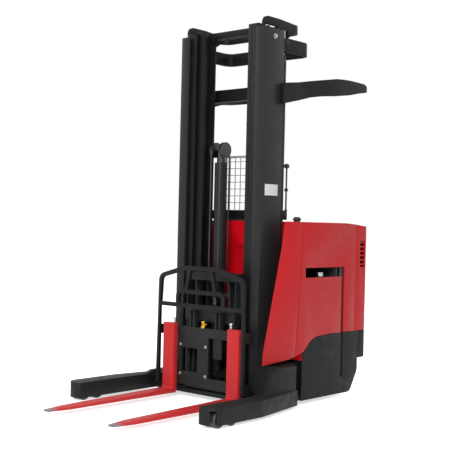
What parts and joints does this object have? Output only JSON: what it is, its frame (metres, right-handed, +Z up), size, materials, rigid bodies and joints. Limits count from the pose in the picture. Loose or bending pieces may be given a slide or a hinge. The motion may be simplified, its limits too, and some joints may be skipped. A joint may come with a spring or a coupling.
{
  "type": "stand-up reach truck",
  "caption": "Stand-up reach truck with a three-stage mast, scissor reach carriage, two forks, load legs and a cantilevered overhead guard.",
  "frame": {"origin": "on the floor under the middle of the outline, mast lowered and forks reached in", "axes": "+X towards the truck's left side, -Y the way the forks point, +Z up"},
  "size_m": [1.38, 2.306, 2.64],
  "materials": {
    "battery_case": "acid proof paint",
    "body_red": "gloss powder coat",
    "carriage_grey": "satin paint",
    "caster_tyre": "cast polyurethane",
    "dark_cover": "textured paint",
    "drive_tyre": "pressed rubber",
    "fork_red": "satin paint over forged steel",
    "frame_black": "satin paint",
    "load_tyre": "cast polyurethane",
    "mast_grey": "satin paint",
    "rod_chrome": "hard chrome",
    "room_black": "moulded trim",
    "screen_wire": "plated wire"
  },
  "bodies": {
    "chassis": {"battery": "battery_case", "caster_mount": "frame_black", "chassis": "frame_black", "drive_cover": "dark_cover", "drive_motor": "frame_black", "floor": "room_black", "front_wall": "body_red", "leg_left": "frame_black", "leg_right": "frame_black", "lift_barrels": "mast_grey", "outer_crossmembers": "mast_grey", "outer_rail_left": "mast_grey", "outer_rail_right": "mast_grey", "overhead_guard": "mast_grey", "rear_bumper": "dark_cover", "rear_corner_left": "body_red", "rear_corner_right": "body_red", "room_lining": "room_black", "room_wall": "room_black", "side_cover_left": "body_red", "side_cover_right": "body_red", "skirt_left": "dark_cover", "skirt_right": "dark_cover", "top_deck": "body_red", "wire_screen": "screen_wire", "work_lamp": "mast_grey"},
    "mast_middle": {"middle_rail_left": "mast_grey", "middle_rail_right": "mast_grey", "middle_crossmembers": "mast_grey", "lift_rods": "rod_chrome"},
    "mast_inner": {"inner_rail_left": "mast_grey", "inner_rail_right": "mast_grey", "inner_crossmembers": "mast_grey", "free_lift_barrel": "mast_grey"},
    "crosshead": {"crosshead": "carriage_grey"},
    "mast_carriage": {"mast_carriage": "carriage_grey"},
    "outer_arms": {"outer_arms": "carriage_grey"},
    "inner_arms": {"inner_arms": "carriage_grey"},
    "reach_carriage": {"reach_carriage": "carriage_grey"},
    "reach_barrel": {"reach_barrel": "mast_grey"},
    "reach_rod": {"reach_rod": "rod_chrome"},
    "fork_frame": {"fork_frame": "carriage_grey", "load_backrest": "carriage_grey", "fork_left": "fork_red", "fork_right": "fork_red"},
    "load_wheel_left_front": {"load_wheel_left_front": "load_tyre"},
    "load_wheel_left_rear": {"load_wheel_left_rear": "load_tyre"},
    "load_wheel_right_front": {"load_wheel_right_front": "load_tyre"},
    "load_wheel_right_rear": {"load_wheel_right_rear": "load_tyre"},
    "drive_head": {"drive_head": "frame_black"},
    "drive_wheel": {"drive_wheel": "drive_tyre"},
    "caster_head": {"caster_head": "frame_black"},
    "caster_wheels": {"caster_wheels": "caster_tyre"}
  },
  "joints": [
    {"name": "main_lift", "type": "slide", "parent": "chassis", "child": "mast_middle", "axis": [0, 0, 1], "range_m": [0, 1.9]},
    {"name": "inner_lift", "type": "slide", "parent": "mast_middle", "child": "mast_inner", "axis": [0, 0, 1], "range_m": [0, 1.9]},
    {"name": "free_lift", "type": "slide", "parent": "mast_inner", "child": "mast_carriage", "axis": [0, 0, 1], "range_m": [0, 1.49]},
    {"name": "crosshead_lift", "type": "slide", "parent": "mast_inner", "child": "crosshead", "axis": [0, 0, 1], "range_m": [0, 0.745]},
    {"name": "reach", "type": "hinge", "parent": "mast_carriage", "child": "outer_arms", "pos_m": [0, 0.115, 0.86011], "axis": [-1, 0, 0], "range_deg": [0, 57.5]},
    {"name": "arm_cross", "type": "hinge", "parent": "outer_arms", "child": "inner_arms", "pos_m": [0, 0.08188, 0.48155], "axis": [-1, 0, 0], "range_deg": [-115, 0]},
    {"name": "reach_level", "type": "hinge", "parent": "inner_arms", "child": "reach_carriage", "pos_m": [0, 0.04876, 0.86011], "axis": [-1, 0, 0], "range_deg": [0, 57.5]},
    {"name": "fork_tilt", "type": "hinge", "parent": "reach_carriage", "child": "fork_frame", "pos_m": [0, -0.00754, 0.6], "axis": [-1, 0, 0], "range_deg": [-1.5, 3]},
    {"name": "ram_swing", "type": "hinge", "parent": "mast_carriage", "child": "reach_barrel", "pos_m": [0, 0.108, 0.17], "axis": [1, 0, 0], "range_deg": [0, 36.33]},
    {"name": "ram_stroke", "type": "slide", "parent": "reach_barrel", "child": "reach_rod", "axis": [0, -0.0851, 0.9964], "range_m": [0, 0.27491]},
    {"name": "load_roll_left_front", "type": "hinge", "parent": "chassis", "child": "load_wheel_left_front", "pos_m": [0.6175, -0.612, 0.051], "axis": [1, 0, 0], "continuous": true},
    {"name": "load_roll_left_rear", "type": "hinge", "parent": "chassis", "child": "load_wheel_left_rear", "pos_m": [0.6175, -0.494, 0.051], "axis": [1, 0, 0], "continuous": true},
    {"name": "load_roll_right_front", "type": "hinge", "parent": "chassis", "child": "load_wheel_right_front", "pos_m": [-0.6175, -0.612, 0.051], "axis": [1, 0, 0], "continuous": true},
    {"name": "load_roll_right_rear", "type": "hinge", "parent": "chassis", "child": "load_wheel_right_rear", "pos_m": [-0.6175, -0.494, 0.051], "axis": [1, 0, 0], "continuous": true},
    {"name": "drive_steer", "type": "hinge", "parent": "chassis", "child": "drive_head", "pos_m": [-0.3, 0.94, 0.165], "axis": [0, 0, 1], "range_deg": [-90, 90]},
    {"name": "drive_roll", "type": "hinge", "parent": "drive_head", "child": "drive_wheel", "pos_m": [-0.3, 0.94, 0.165], "axis": [1, 0, 0], "continuous": true},
    {"name": "caster_swivel", "type": "hinge", "parent": "chassis", "child": "caster_head", "pos_m": [0.3, 0.94, 0.075], "axis": [0, 0, 1], "continuous": true},
    {"name": "caster_roll", "type": "hinge", "parent": "caster_head", "child": "caster_wheels", "pos_m": [0.3, 0.97, 0.075], "axis": [1, 0, 0], "continuous": true}
  ],
  "couplings": [
    {"joint": "inner_lift", "follows": "main_lift", "ratio": 1},
    {"joint": "crosshead_lift", "follows": "free_lift", "ratio": 0.5},
    {"joint": "arm_cross", "follows": "reach", "ratio": -2},
    {"joint": "reach_level", "follows": "reach", "ratio": 1},
    {"joint": "ram_swing", "follows": "reach", "ratio": 0.63177},
    {"joint": "ram_stroke", "follows": "reach", "m_per_rad": 0.27393}
  ]
}
